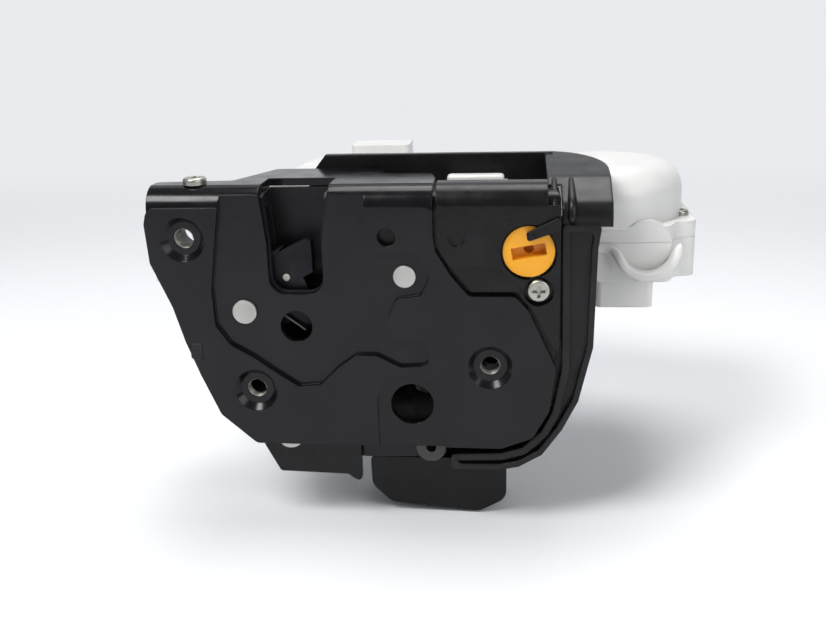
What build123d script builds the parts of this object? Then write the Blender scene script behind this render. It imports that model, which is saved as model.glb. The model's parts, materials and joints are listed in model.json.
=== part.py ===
from build123d import *
from math import acos, asin, cos, degrees, pi, radians, sin, tan
import os

os.makedirs("parts", exist_ok=True)

# Door latch with lock actuator. X runs along the face plate, Y into the door, Z up.
# The origin is the striker's centre, latched, in the plane of the plate's front face.

# Face plate
plate_t = 2.0
plate_left = -36.6
plate_right = 34.9
flange_top = 22.0
flange_t = 2.0
bend_r = 6.0
recess_d = 1.5
lift_recess_d = 0.8
screw_hole_r = 2.55
dimple_r = 5.7
dimple_d = 1.5
collar_r = 5.0
collar_end = 5.4
fixing_points = ((-28.0, 9.1), (-12.0, -31.0), (48.8, -24.3))

# Striker mouth
mouth_half = 7.0
mouth_top_half = 8.9
mouth_floor = -5.6
mouth_cut_y = 14.3
liner_wall = 1.4

# Layers behind the plate, as depths along Y
body_front = 2.3
recess_back = plate_t + recess_d
gear_front = 5.6
gear_t = 4.0
gear_gap = 0.4
body_back = 13.8
back_plate_t = 1.6
lever_gap = 0.6
lever_t = 1.6
case_front = 24.0

# Ratchet and pawl
ratchet_x, ratchet_z = -13.7, -10.0
pawl_x, pawl_z = 27.6, -0.7
pin_r = 3.0
rivet_r = 3.1
pawl_rivet_r = 2.8
running_gap = 0.06
ratchet_open = 48.0
hub_r = 10.0
land_r = 22.0
jaw_r = 25.5
catch_r = 20.0
notch_r = 16.5
safety_r = 18.6
slot_half = 5.1
tooth_angle = -38.0
pawl_drop = 10.5
pawl_lift = 5.0
pawl_hub_r = 6.6

# Child lock
knob_x, knob_z = 58.3, 5.5
knob_r = 6.4
knob_face = 1.2
knob_turn = 70.0
child_arm = 14.0
child_pin_r = 1.6
child_pin_throw = 3.5

knob_flange_r, knob_flange_t = 7.6, 1.2
child_dir = 36.87
child_ratio = 0.29
child_pivot = (knob_x - child_arm * cos(radians(child_dir)), knob_z - child_arm * sin(radians(child_dir)))
child_rest = child_dir - child_ratio * knob_turn / 2
small_pin_r = 1.5

# Handle levers
outside_x, outside_z = -4.3, -44.5
outside_front, outside_t = 5.6, 2.2
outside_pin_r, outside_sleeve_r, outside_hub_r = 3.0, 5.0, 6.4
bush_x, bush_z, bush_r = 33.0, -48.6, 2.6
stud_x, stud_z, stud_r = 31.5, -33.5, 1.6
ear_front, ear_t = 3.0, 2.0

# Sealing frame and its rim on the body
frame_front, frame_back, frame_t = 0.8, 5.0, 2.2
skirt_t, skirt_end = 1.6, 14.0
rim_t = 3.0

# Posts and screws that join head and case
post_points = ((-30.0, -4.0), (61.4, -11.0))
post_r, joining_r, joining_deep = 4.0, 1.4, 9.0
flange_screw_x, flange_screw_y, flange_screw_deep = -25.5, 6.5, 4.5
screw_x, screw_z = 60.8, -4.4

wire_r, coil_pitch, spring_coil_r = 0.38, 0.8, 3.9
head_t = 1.8
stop_x, stop_z, stop_r = -26.9, -20.5, 0.9
stop_w, stop_h, stop_t = 3.2, 4.0, 0.8
joining_seats = (30.0, 28.0)
hood_left, frame_right, frame_top, strip_back, corner_r = 62.9, 78.5, 25.3, 34.0, 16.0
lower_front, lower_back = 9.0, 26.0

# Actuator case
split_z = 2.2
case_wall = 1.8
case_top = 16.0
case_base = -8.5
rim_top, motor_top, dome_edge_r = 6.6, 13.0, 8.0
bulge_r = 6.6
pressure = 25.0
lock_x = 44.5
lock_hub_r, lock_arm, lock_arm_t, lock_arm_angle = 5.0, 25.0, 2.6, -71.67
sector_w, pinion_w = 4.8, 6.0
wheel_pin_r, pin_top = 2.5, 11.4
worm_root_r, worm_shaft_r = 2.75, 1.5
board_z, shroud_low = case_base + case_wall, -16.0
screw_boss_r, case_screw_r = 3.0, 1.3
case_screw_points = ((53.4, 27.6), (99.6, 40.0), (-12.0, 30.0), (-10.0, 88.0), (58.0, 96.0), (71.5, 89.6))
dome_x, dome_y, dome_r, dome_top = 79.5, 45.0, 21.5, 21.5
wheel_x, wheel_y = 68.5, 46.0
worm_x, worm_z = 89.5, 1.6
wheel_teeth = 34
module = 1.0
wheel_base, wheel_w = -1.4, 5.6
pinion_teeth = 12
sector_teeth = 36
motor_r, motor_flat = 10.2, 7.7
motor_y, motor_len = 61.0, 25.0

# Covers and fasteners
cover_front = 0.3
cover_t = 2.0
slit = 0.8
screw_head_r = 2.9
seat = 0.3

gear_back = gear_front + gear_t
floor_front = gear_back + gear_gap
steel_front = body_back
steel_back = steel_front + back_plate_t
lever_1 = steel_back + lever_gap
lever_2 = lever_1 + lever_t + lever_gap
flange_in = flange_top - flange_t
bend_z = flange_top - bend_r


def at_depth(y):
    return Plane(origin=(0, y, 0), x_dir=(1, 0, 0), z_dir=(0, -1, 0))


def distance(x, z, point):
    return ((point[0] - x) ** 2 + (point[1] - z) ** 2) ** 0.5


def polar_angle(x, z, point):
    return radians(Vector(1, 0, 0).get_signed_angle(Vector(point[0] - x, point[1] - z, 0), Vector(0, 0, 1)))


def polar(x, z, radius, angle):
    return (x + radius * cos(radians(angle)), z + radius * sin(radians(angle)))


def rounded(points, radius):
    with BuildSketch() as face:
        with BuildLine():
            FilletPolyline(*points, radius=radius, close=True)
        make_face()
    return face.sketch


def grown(face, amount):
    return offset(face, amount=amount, mode=Mode.PRIVATE)


def straight(points):
    with BuildSketch() as face:
        with BuildLine():
            Polyline(*points, close=True)
        make_face()
    return face.sketch


def sector(x, z, radius, low, high):
    steps = max(2, round((high - low) / 45) + 1)
    with BuildSketch() as face:
        with BuildLine():
            start = polar(x, z, radius, low)
            Line((x, z), start)
            for step in range(steps):
                a = low + (high - low) * step / steps
                b = low + (high - low) * (step + 1) / steps
                ThreePointArc(polar(x, z, radius, a), polar(x, z, radius, (a + b) / 2),
                              polar(x, z, radius, b))
            Line(polar(x, z, radius, high), (x, z))
        make_face()
    return face.sketch


def disc(x, z, radius):
    with BuildSketch() as face:
        with Locations((x, z)):
            Circle(radius)
    return face.sketch


def about(face, x, z, angle):
    there = Location((x, z, 0)) * Location((0, 0, 0), (0, 0, angle)) * Location((-x, -z, 0))
    return face.moved(there)


# Outline of the steel face plate below its bend
plate_points = (
    (plate_left, bend_z + 1), (-37.6, 13.0), (-37.0, 3.0), (-32.2, -8.5), (-29.6, -18.0), (-26.4, -27.0),
    (-21.8, -38.0), (-12.8, -46.0), (51.5, -46.6), (59.5, -43.6), (63.8, -36.0), (65.2, -24.2), (58.4, -9.4),
    (55.0, -5.6), (43.6, -5.6), (39.2, -0.4), (35.4, 6.0), (plate_right, 10.0), (plate_right, bend_z + 1),
)
recess_points = (
    (-17.0, 26.0), (-20.2, 6.0), (-21.7, -4.0), (-21.4, -13.5), (-18.0, -18.5), (-12.0, -22.0), (-6.5, -26.0),
    (-0.5, -30.0), (5.0, -29.5), (9.5, -25.0), (14.5, -21.3), (20.0, -21.3), (26.0, -24.4), (33.2, -24.0),
    (33.4, -18.6), (25.0, -17.4), (23.0, -12.0), (25.2, -6.4), (31.6, -5.6), (34.0, -0.4), (31.6, 5.4),
    (19.6, 5.4), (18.2, 10.0), (18.0, 26.0),
)
lift_points = ((19.8, -48.0), (19.8, -26.4), (37.2, -26.4), (37.2, -48.0))
lift_corners = (2.0, 8.0, 8.0, 2.0)
lift_hole_x, lift_hole_z, lift_hole_r = 28.7, -34.7, 5.5
peep_x, peep_z, peep_r = -0.6, -14.0, 4.1
mouth_points = (
    (-mouth_half, mouth_floor), (mouth_half, mouth_floor), (mouth_half, 8.0), (mouth_top_half + 1, 26.0),
    (-mouth_top_half, 26.0), (-mouth_half, 8.0),
)
mouth_face = rounded(mouth_points, 4.5)

# room that the bend of plate and cover takes from what lies behind them
with BuildPart() as bend_room:
    with BuildSketch(Plane.YZ.offset(-45)):
        with Locations(((bend_r + cover_front) / 2, bend_z + 2.5)):
            Rectangle(bend_r + cover_front, 5)
        with Locations((bend_r + cover_front, bend_z)):
            Circle(bend_r - plate_t - 0.1, mode=Mode.SUBTRACT)
    extrude(amount=120)

with BuildPart() as base_plate:
    with BuildSketch(at_depth(0)):
        add(rounded(plate_points, 2.5))
    extrude(amount=-plate_t)
    with BuildSketch(Plane.YZ.offset(plate_left)):
        with BuildLine():
            Line((0, bend_z - 4), (0, bend_z))
            RadiusArc((0, bend_z), (bend_r, flange_top), bend_r)
            Line((bend_r, flange_top), (bend_r, flange_in))
            RadiusArc((bend_r, flange_in), (plate_t, bend_z), -(bend_r - plate_t))
            Line((plate_t, bend_z), (plate_t, bend_z - 4))
            Line((plate_t, bend_z - 4), (0, bend_z - 4))
        make_face()
    extrude(amount=plate_right - plate_left)
    with BuildSketch(Plane.XY.offset(flange_in)):
        with BuildLine():
            FilletPolyline(
                (plate_left, bend_r - 1), (plate_left, 10.0), (-17.0, 11.5), (-9.5, 29.5), (20.5, 29.5),
                (20.5, 21.0), (33.6, 20.0), (plate_right, 12.0), (plate_right, bend_r - 1), radius=1.5)
            Line((plate_right, bend_r - 1), (plate_left, bend_r - 1))
        make_face()
    extrude(amount=flange_t)
    # pressed recesses: the sheet keeps its thickness
    with BuildSketch(at_depth(plate_t)):
        add(rounded(recess_points, 2.0))
        with Locations((0, bend_z + 30)):
            Rectangle(200, 60, mode=Mode.SUBTRACT)
    extrude(amount=-recess_d)
    with BuildSketch(at_depth(-1)):
        add(rounded(recess_points, 2.0))
    extrude(amount=-(recess_d + 1), mode=Mode.SUBTRACT)
    with BuildSketch(at_depth(plate_t)):
        add(rounded(lift_points, lift_corners))
        with Locations((28.5, -56.6)):
            Rectangle(40, 20, mode=Mode.SUBTRACT)
    extrude(amount=-lift_recess_d)
    with BuildSketch(at_depth(-1)):
        add(rounded(lift_points, lift_corners))
    extrude(amount=-(lift_recess_d + 1), mode=Mode.SUBTRACT)
    # collars of the three fixing holes
    for hole_x, hole_z in fixing_points:
        with BuildSketch(at_depth(plate_t)):
            with Locations((hole_x, hole_z)):
                Circle(collar_r)
        extrude(amount=-(collar_end - plate_t))
    for hole_x, hole_z in fixing_points:
        with BuildSketch(at_depth(0)):
            with Locations((hole_x, hole_z)):
                Circle(dimple_r)
        extrude(amount=-dimple_d, taper=45, mode=Mode.SUBTRACT)
        with BuildSketch(at_depth(-1)):
            with Locations((hole_x, hole_z)):
                Circle(screw_hole_r)
        extrude(amount=-(collar_end + 2), mode=Mode.SUBTRACT)
    # striker mouth, also through the bend and the flange
    with BuildSketch(at_depth(-1)):
        add(mouth_face)
    extrude(amount=-(mouth_cut_y + 1), mode=Mode.SUBTRACT)
    # rivet seats and small holes
    for hole_x, hole_z, hole_r in (
            (ratchet_x, ratchet_z, pin_r - 0.6), (pawl_x, pawl_z, pin_r - 0.9), (peep_x, peep_z, peep_r),
            (lift_hole_x, lift_hole_z, lift_hole_r), (23.5, 9.6, 2.3), (stop_x, stop_z, stop_r)):
        with BuildSketch(at_depth(-1)):
            with Locations((hole_x, hole_z)):
                Circle(hole_r)
        extrude(amount=-8, mode=Mode.SUBTRACT)
    # seat that lets the stop lie flush with the face
    with BuildSketch(at_depth(0)):
        with Locations((stop_x, stop_z)):
            RectangleRounded(stop_w + 0.2, stop_h + 0.2, 0.6)
    extrude(amount=-stop_t, mode=Mode.SUBTRACT)
    with BuildSketch(Plane.XY.offset(flange_in - 1)):
        with Locations((flange_screw_x, flange_screw_y)):
            Circle(small_pin_r + 0.1)
    extrude(amount=flange_t + 2, mode=Mode.SUBTRACT)
base_plate.part.label = "base_plate"
export_step(base_plate.part, "parts/base_plate.step")


# Ratchet, drawn latched with the striker at the origin, then turned open
def ratchet_face(slot):
    hub = (ratchet_x, ratchet_z)
    safety_angle, ramp_angle, last_angle = tooth_angle - 7, tooth_angle - 19, tooth_angle - 24
    lip = degrees(asin((slot - ratchet_z) / jaw_r))
    nose = (10.9 - (slot - slot_half), -9.0 - (slot - slot_half))
    with BuildSketch() as face:
        with BuildLine():
            Polyline((-1.8, slot), polar(*hub, jaw_r, lip))
            ThreePointArc(polar(*hub, jaw_r, lip), polar(*hub, jaw_r, 48), polar(*hub, jaw_r, 60))
            Line(polar(*hub, jaw_r, 60), polar(*hub, hub_r, 150))
            ThreePointArc(polar(*hub, hub_r, 150), polar(*hub, hub_r, 215), polar(*hub, hub_r, 280))
            Polyline(polar(*hub, hub_r, 280), polar(*hub, hub_r + 1.5, last_angle - 7),
                     polar(*hub, land_r, last_angle))
            RadiusArc(polar(*hub, land_r, last_angle), polar(*hub, land_r, ramp_angle), -land_r)
            Line(polar(*hub, land_r, ramp_angle), polar(*hub, safety_r, ramp_angle + 4))
            RadiusArc(polar(*hub, safety_r, ramp_angle + 4), polar(*hub, safety_r, safety_angle), -safety_r)
            Line(polar(*hub, safety_r, safety_angle), polar(*hub, land_r, safety_angle))
            RadiusArc(polar(*hub, land_r, safety_angle), polar(*hub, land_r, tooth_angle), -land_r)
            Line(polar(*hub, land_r, tooth_angle), polar(*hub, notch_r, tooth_angle))
            RadiusArc(polar(*hub, notch_r, tooth_angle), polar(*hub, notch_r, -20), -notch_r)
            Polyline(polar(*hub, notch_r, -20), polar(*hub, catch_r - 0.5, -20), (10.5, -11.2), nose)
            Line(nose, (1.8, -slot - 0.3))
            ThreePointArc((1.8, -slot - 0.3), (-slot, -0.2), (-1.8, slot))
        make_face()
        with Locations(hub):
            Circle(pin_r + running_gap, mode=Mode.SUBTRACT)
    return about(face.sketch, *hub, ratchet_open)


steel_t = gear_t - 0.8
with BuildPart() as ratchet:
    with BuildSketch(at_depth(gear_front + 0.4)):
        add(ratchet_face(slot_half + 0.8))
    extrude(amount=-steel_t)
ratchet.part.label = "ratchet"
export_step(ratchet.part, "parts/ratchet.step")

# resin jacket that lines the slot and damps the jaws
jacket_zone = about(straight(((-40, -6.6), (40, -6.6), (40, 40), (-40, 40))), ratchet_x, ratchet_z,
                    ratchet_open)
with BuildPart() as ratchet_jacket:
    with BuildSketch(at_depth(gear_front)):
        add(ratchet_face(slot_half))
        add(jacket_zone, mode=Mode.INTERSECT)
    extrude(amount=-gear_t)
    add(ratchet.part, mode=Mode.SUBTRACT)
ratchet_jacket.part.label = "ratchet_jacket"
export_step(ratchet_jacket.part, "parts/ratchet_jacket.step")


# Pawl, drawn dropped against the ratchet's tooth, then lifted onto its rim
def lifted(face):
    return about(face, pawl_x, pawl_z, pawl_drop)


hub = (ratchet_x, ratchet_z)
pawl_points = (
    polar(*hub, notch_r + 0.8, tooth_angle + 0.8), polar(*hub, land_r + 1.8, tooth_angle + 0.8),
    (pawl_x + 3.8, pawl_z - 5.6), (pawl_x + 1.0, pawl_z + 5.4), (pawl_x - 6.2, pawl_z + 1.0), (16.0, -9.0),
    polar(*hub, land_r - 1.2, -24), polar(*hub, notch_r + 0.8, -28),
)
drive_arm, drive_angle, drive_r = 13.0, 231.0, 1.9
drive_x, drive_z = polar(pawl_x, pawl_z, drive_arm, drive_angle)
with BuildPart() as pawl:
    with BuildSketch(at_depth(gear_front)):
        add(lifted(straight(pawl_points)))
        with Locations((pawl_x, pawl_z)):
            Circle(pawl_hub_r)
            Circle(pin_r + running_gap, mode=Mode.SUBTRACT)
    extrude(amount=-gear_t)
    with BuildSketch(at_depth(gear_back)):
        with Locations((drive_x, drive_z)):
            Circle(drive_r)
    extrude(amount=-(lever_1 + lever_t - gear_back))
pawl.part.label = "pawl"
export_step(pawl.part, "parts/pawl.step")

lever_hub_r = 5.6
with BuildPart() as pawl_lever:
    with BuildSketch(at_depth(lever_1)):
        add(straight(((22.8, 2.0), (14.0, -17.0), (18.0, -20.5), (32.2, -4.0))))
        with Locations((pawl_x, pawl_z)):
            Circle(lever_hub_r)
            Circle(pin_r + running_gap, mode=Mode.SUBTRACT)
        with Locations((drive_x, drive_z)):
            Circle(drive_r, mode=Mode.SUBTRACT)
    extrude(amount=-lever_t)
pawl_lever.part.label = "pawl_lever"
export_step(pawl_lever.part, "parts/pawl_lever.step")

# Riveted pins
with BuildPart() as ratchet_pin:
    for radius, start, end in ((rivet_r, recess_d - 0.8, recess_d), (pin_r - 0.6, recess_d, recess_back),
                               (pin_r, recess_back, steel_front), (pin_r - 0.6, steel_front, steel_back),
                               (rivet_r + 0.4, steel_back, steel_back + 0.5)):
        with BuildSketch(at_depth(start)):
            with Locations((ratchet_x, ratchet_z)):
                Circle(radius)
        extrude(amount=-(end - start))
ratchet_pin.part.label = "ratchet_pin"
export_step(ratchet_pin.part, "parts/ratchet_pin.step")

pawl_pin_end = lever_2 + lever_t + 0.3
with BuildPart() as pawl_pin:
    for radius, start, end in ((pawl_rivet_r, recess_d - 0.8, recess_d), (pin_r - 0.9, recess_d, recess_back),
                               (pin_r, recess_back, pawl_pin_end),
                               (pin_r + 1.4, pawl_pin_end, pawl_pin_end + 0.9)):
        with BuildSketch(at_depth(start)):
            with Locations((pawl_x, pawl_z)):
                Circle(radius)
        extrude(amount=-(end - start))
pawl_pin.part.label = "pawl_pin"
export_step(pawl_pin.part, "parts/pawl_pin.step")

# Resin liner of the mouth, with a back wall and a slot that the ratchet swings through
liner_out = mouth_half + 1.0
liner_floor = mouth_floor - 1.0
liner_in = liner_out - liner_wall
liner_points = (
    (-liner_out, liner_floor), (liner_out, liner_floor), (liner_out, 8.0),
    (liner_out + 1.8, flange_in - seat),
    (-liner_out - 1.8, flange_in - seat), (-liner_out, 8.0),
)
liner_face = rounded(liner_points, (5, 5, 5, 0, 0, 5))
liner_hollow = rounded((
    (-liner_in, liner_floor + liner_wall), (liner_in, liner_floor + liner_wall), (liner_in, 8.0),
    (liner_in + 1.8, 26.0), (-liner_in - 1.8, 26.0), (-liner_in, 8.0)), (4, 4, 4, 0, 0, 4))
slot_top = ratchet_z + jaw_r + 0.9
nub_x, nub_z, nub_r = -2.6, -3.0, 1.3
with BuildPart() as mouth_liner:
    with BuildSketch(at_depth(recess_back + 0.1)):
        add(liner_face)
    extrude(amount=-(steel_back - recess_back - 0.1))
    with BuildSketch(at_depth(0)):
        add(liner_hollow)
    extrude(amount=-steel_front, mode=Mode.SUBTRACT)
    with BuildSketch(at_depth(gear_front - gear_gap)):
        with Locations((0, slot_top - 20)):
            Rectangle(40, 40)
    extrude(amount=-(gear_t + 2 * gear_gap), mode=Mode.SUBTRACT)
    with BuildSketch(at_depth(steel_front)):
        with Locations((nub_x, nub_z)):
            Circle(nub_r + 0.05)
    extrude(amount=-5, mode=Mode.SUBTRACT)
    add(bend_room.part, mode=Mode.SUBTRACT)
mouth_liner.part.label = "mouth_liner"
export_step(mouth_liner.part, "parts/mouth_liner.step")

# Cushion behind the mouth's floor, its pale nub showing through the back wall
with BuildPart() as bump_stop:
    with BuildSketch(at_depth(steel_front - 0.4)):
        with Locations((nub_x, nub_z)):
            Circle(nub_r)
    extrude(amount=-(steel_back - steel_front + 0.4))
bump_stop.part.label = "bump_stop"
export_step(bump_stop.part, "parts/bump_stop.step")

# Resin body of the latch head
body_points = (
    (-35.4, flange_in), (-36.0, 13.0), (-35.4, 3.4), (-30.8, -8.5), (-28.2, -18.5), (-25.0, -27.3),
    (-21.0, -36.8),
    (39.0, -36.8), (40.0, -45.0), (51.5, -45.0), (58.6, -42.2), (62.2, -35.4), (64.8, -24.0), (66.0, -14.0),
    (66.0, flange_in),
)
with BuildSketch() as ratchet_pocket:
    add(sector(*hub, jaw_r - 0.2, -10, 56))
    add(sector(*hub, land_r + 1.0, -72, 0))
    add(sector(*hub, jaw_r + 0.8, 30, 112))
    add(disc(*hub, hub_r + 2.6))
    add(straight((hub, polar(*hub, jaw_r + 0.8, 112), polar(*hub, hub_r + 2.6, 185))))
with BuildSketch() as pawl_pocket:
    add(sector(pawl_x, pawl_z, 34.2, 208, 250))
    add(disc(pawl_x, pawl_z, pawl_hub_r + 1.8))
    add(straight(((pawl_x, pawl_z), polar(pawl_x, pawl_z, 34.0, 250), polar(pawl_x, pawl_z, 8.2, 322))))
    add(straight(((16.5, -10.5), (19.5, 2.0), (24, 6.0), (30, -3))))
with BuildSketch() as drive_slot:
    add(sector(pawl_x, pawl_z, drive_arm + drive_r + 0.5, drive_angle - pawl_drop - 11,
               drive_angle + pawl_lift + 11))
    add(disc(pawl_x, pawl_z, drive_arm - drive_r - 0.5), mode=Mode.SUBTRACT)
frame_outer = (
    (75.8, 12.0), (75.0, 6.0), (74.4, -19.0), (71.0, -33.5), (67.0, -41.5), (62.0, -48.5), (56.0, -52.0),
    (51.0, -53.0), (38.5, -53.0),
)
frame_inner = (
    (38.5, -48.9), (51.5, -48.4), (56.8, -46.9), (61.9, -42.0), (64.6, -36.5), (66.8, -25.0), (66.3, 12.0),
)
rim_points = frame_outer + ((38.5, -40.0), (60.0, -36.0), (60.0, 12.0))
ear_points = ((-16.0, -34.0), (-11.4, -48.0), (-7.6, -55.4), (10.5, -56.0), (14.4, -58.6), (14.4, -34.0))
with BuildPart() as latch_body:
    with BuildSketch(at_depth(body_front)):
        add(rounded(body_points, 2.0))
    extrude(amount=-(body_back - body_front))
    # rim that carries the sealing frame
    with BuildSketch(at_depth(frame_back)):
        add(grown(rounded(rim_points, 3.0), -skirt_t - 0.1))
    extrude(amount=-rim_t)
    # ear in front of the outside lever
    with BuildSketch(at_depth(ear_front)):
        add(rounded(ear_points, 1.0))
        with Locations((outside_x, outside_z)):
            Circle(outside_pin_r, mode=Mode.SUBTRACT)
    extrude(amount=-ear_t)
    # posts that carry the actuator case
    for post_x, post_z in post_points:
        with BuildSketch(at_depth(body_back)):
            with Locations((post_x, post_z)):
                Circle(post_r)
        extrude(amount=-(case_front - body_back))
        with BuildSketch(at_depth(case_front)):
            with Locations((post_x, post_z)):
                Circle(joining_r)
        extrude(amount=joining_deep, mode=Mode.SUBTRACT)
    with BuildSketch(at_depth(floor_front)):
        add(ratchet_pocket.sketch)
        add(pawl_pocket.sketch)
        for hole_x, hole_z in fixing_points[:2]:
            with Locations((hole_x, hole_z)):
                Circle(4.7, mode=Mode.SUBTRACT)
    extrude(amount=12, mode=Mode.SUBTRACT)
    with BuildSketch(at_depth(0)):
        add(rounded(recess_points, 2.0))
        with Locations((28.5, -40)):
            Rectangle(19, 30)
    extrude(amount=-(recess_back + 0.1), mode=Mode.SUBTRACT)
    with BuildSketch(at_depth(0)):
        add(grown(liner_face, 0.05))
        with Locations((0, flange_in)):
            Rectangle(2 * liner_out + 4, 8)
    extrude(amount=-20, mode=Mode.SUBTRACT)
    for hole_x, hole_z in fixing_points:
        with BuildSketch(at_depth(0)):
            with Locations((hole_x, hole_z)):
                Circle(collar_r + 0.3)
        extrude(amount=-(collar_end + 0.3), mode=Mode.SUBTRACT)
        with BuildSketch(at_depth(0)):
            with Locations((hole_x, hole_z)):
                Circle(3.7)
        extrude(amount=-20, mode=Mode.SUBTRACT)
    with BuildSketch(at_depth(0)):
        with Locations((lift_hole_x, lift_hole_z)):
            Circle(lift_hole_r + 1.2)
        with Locations((ratchet_x, ratchet_z)):
            Circle(pin_r)
        with Locations((pawl_x, pawl_z)):
            Circle(pin_r)
        with Locations((knob_x, knob_z)):
            Circle(knob_r + 0.08)
    extrude(amount=-20, mode=Mode.SUBTRACT)
    with BuildSketch(at_depth(floor_front - 1)):
        add(drive_slot.sketch)
    extrude(amount=-10, mode=Mode.SUBTRACT)
    for hole_x, hole_z in ((screw_x, screw_z), child_pivot):
        with BuildSketch(at_depth(0)):
            with Locations((hole_x, hole_z)):
                Circle(small_pin_r)
        extrude(amount=-20, mode=Mode.SUBTRACT)
    add(bend_room.part, mode=Mode.SUBTRACT)
    # seat of the flange screw
    with BuildSketch(Plane.XY.offset(flange_in)):
        with Locations((flange_screw_x, flange_screw_y)):
            Circle(small_pin_r)
    extrude(amount=-flange_screw_deep, mode=Mode.SUBTRACT)
latch_body.part.label = "latch_body"
export_step(latch_body.part, "parts/latch_body.step")

# Steel plate behind the body, with a leg that journals the outside lever
back_points = (
    (-24.0, -19.0), (-24.0, 6.0), (-14.0, 14.0), (16.0, 14.0), (36.0, 6.0), (37.0, -8.0), (20.0, -24.0),
    (6.0, -29.0),
    (4.5, -51.0), (-12.0, -51.0), (-12.0, -24.0),
)
with BuildPart() as back_plate:
    with BuildSketch(at_depth(steel_front)):
        add(rounded(back_points, 3.0))
        add(grown(liner_face, 0.05), mode=Mode.SUBTRACT)
        add(drive_slot.sketch, mode=Mode.SUBTRACT)
        for hole_x, hole_z, hole_r in (
                (0, flange_in, liner_out + 0.05), (ratchet_x, ratchet_z, pin_r - 0.6),
                (pawl_x, pawl_z, pin_r),
                (outside_x, outside_z, outside_sleeve_r + running_gap), (*fixing_points[1], 4.4)):
            with Locations((hole_x, hole_z)):
                Circle(hole_r, mode=Mode.SUBTRACT)
    extrude(amount=-back_plate_t)
back_plate.part.label = "back_plate"
export_step(back_plate.part, "parts/back_plate.step")


# Return springs: one coil of round wire about a pin, with two straight legs
def torsion_spring(x, z, coil_r, leg_in, leg_out):
    start = degrees(polar_angle(x, z, leg_in) + acos(coil_r / distance(x, z, leg_in)))
    end = degrees(polar_angle(x, z, leg_out) - acos(coil_r / distance(x, z, leg_out)))
    front = recess_back + 0.15 + wire_r
    rise = coil_pitch * ((end - start) % 360 + 360) / 360
    path = Helix(pitch=coil_pitch, height=rise, radius=coil_r, center=(0, 0, 0), direction=(0, 0, 1))
    with BuildPart() as coil:
        with BuildSketch(Plane(origin=path @ 0, z_dir=path % 0)):
            Circle(wire_r)
        sweep(path=path, is_frenet=True)
    turn = Location((x, front + rise, z)) * Location((0, 0, 0), (90, 0, 0)) * Location((0, 0, 0),
                                                                                       (0, 0, start))
    with BuildPart() as body:
        add(coil.part.moved(turn))
        for leg, angle, depth in ((leg_in, start, front + rise), (leg_out, end, front)):
            foot = polar(x, z, coil_r, angle)
            run = Plane(origin=(foot[0], depth, foot[1]), z_dir=(leg[0] - foot[0], 0, leg[1] - foot[1]))
            with BuildSketch(run.offset(-0.3)):
                Circle(wire_r - 0.02)
            extrude(amount=distance(*foot, leg) + 0.3)
    return body.part


with BuildPart() as ratchet_spring:
    add(torsion_spring(ratchet_x, ratchet_z, spring_coil_r, (1.0, -16.0), (-22.0, -16.0)))
ratchet_spring.part.label = "ratchet_spring"
export_step(ratchet_spring.part, "parts/ratchet_spring.step")

with BuildPart() as pawl_spring:
    add(torsion_spring(pawl_x, pawl_z, spring_coil_r, (33.0, 4.2), (17.0, -8.0)))
pawl_spring.part.label = "pawl_spring"
export_step(pawl_spring.part, "parts/pawl_spring.step")

# Outside handle lever: front arm, sleeve through the back plate, rear arm
with BuildPart() as outside_handle_lever:
    with BuildSketch(at_depth(outside_front)):
        add(rounded(((-8.0, -39.8), (1.0, -38.6), (18.0, -45.2), (36.6, -45.4), (37.0, -51.6), (17.0, -52.0),
                     (-6.5, -50.6)), 1.5))
    extrude(amount=-outside_t)
    with BuildSketch(at_depth(outside_front + outside_t)):
        with Locations((outside_x, outside_z)):
            Circle(outside_sleeve_r)
    extrude(amount=-(lever_1 - outside_front - outside_t))
    with BuildSketch(at_depth(lever_1)):
        add(rounded(((-9.0, -47.0), (-7.5, -39.0), (2.6, -29.6), (7.4, -32.4), (1.0, -47.0)), 1.5))
        with Locations((outside_x, outside_z)):
            Circle(outside_hub_r)
    extrude(amount=-lever_t)
    for hole_x, hole_z, hole_r in ((outside_x, outside_z, outside_pin_r + running_gap),
                                   (bush_x, bush_z, bush_r)):
        with BuildSketch(at_depth(0)):
            with Locations((hole_x, hole_z)):
                Circle(hole_r)
        extrude(amount=-30, mode=Mode.SUBTRACT)
outside_handle_lever.part.label = "outside_handle_lever"
export_step(outside_handle_lever.part, "parts/outside_handle_lever.step")

outside_pin_end = lever_1 + lever_t + 0.2
with BuildPart() as outside_lever_pin:
    for radius, start, end in ((outside_pin_r + 0.75, ear_front - 0.7, ear_front),
                               (outside_pin_r, ear_front, outside_pin_end),
                               (outside_pin_r + 1.6, outside_pin_end, outside_pin_end + 0.8)):
        with BuildSketch(at_depth(start)):
            with Locations((outside_x, outside_z)):
                Circle(radius)
        extrude(amount=-(end - start))
outside_lever_pin.part.label = "outside_lever_pin"
export_step(outside_lever_pin.part, "parts/outside_lever_pin.step")

# Pale bush in the end of the outside lever, where the handle's rod clips in
bush_end = outside_front + outside_t
with BuildPart() as lever_bush:
    for radius, start, end in ((bush_r + 1.3, outside_front - 1.2, outside_front),
                               (bush_r, outside_front, bush_end),
                               (bush_r + 0.5, bush_end, bush_end + 0.6)):
        with BuildSketch(at_depth(start)):
            with Locations((bush_x, bush_z)):
                Circle(radius)
        extrude(amount=-(end - start))
    with BuildSketch(at_depth(0)):
        with Locations((bush_x, bush_z)):
            Circle(1.3)
    extrude(amount=-20, mode=Mode.SUBTRACT)
lever_bush.part.label = "lever_bush"
export_step(lever_bush.part, "parts/lever_bush.step")

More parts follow.
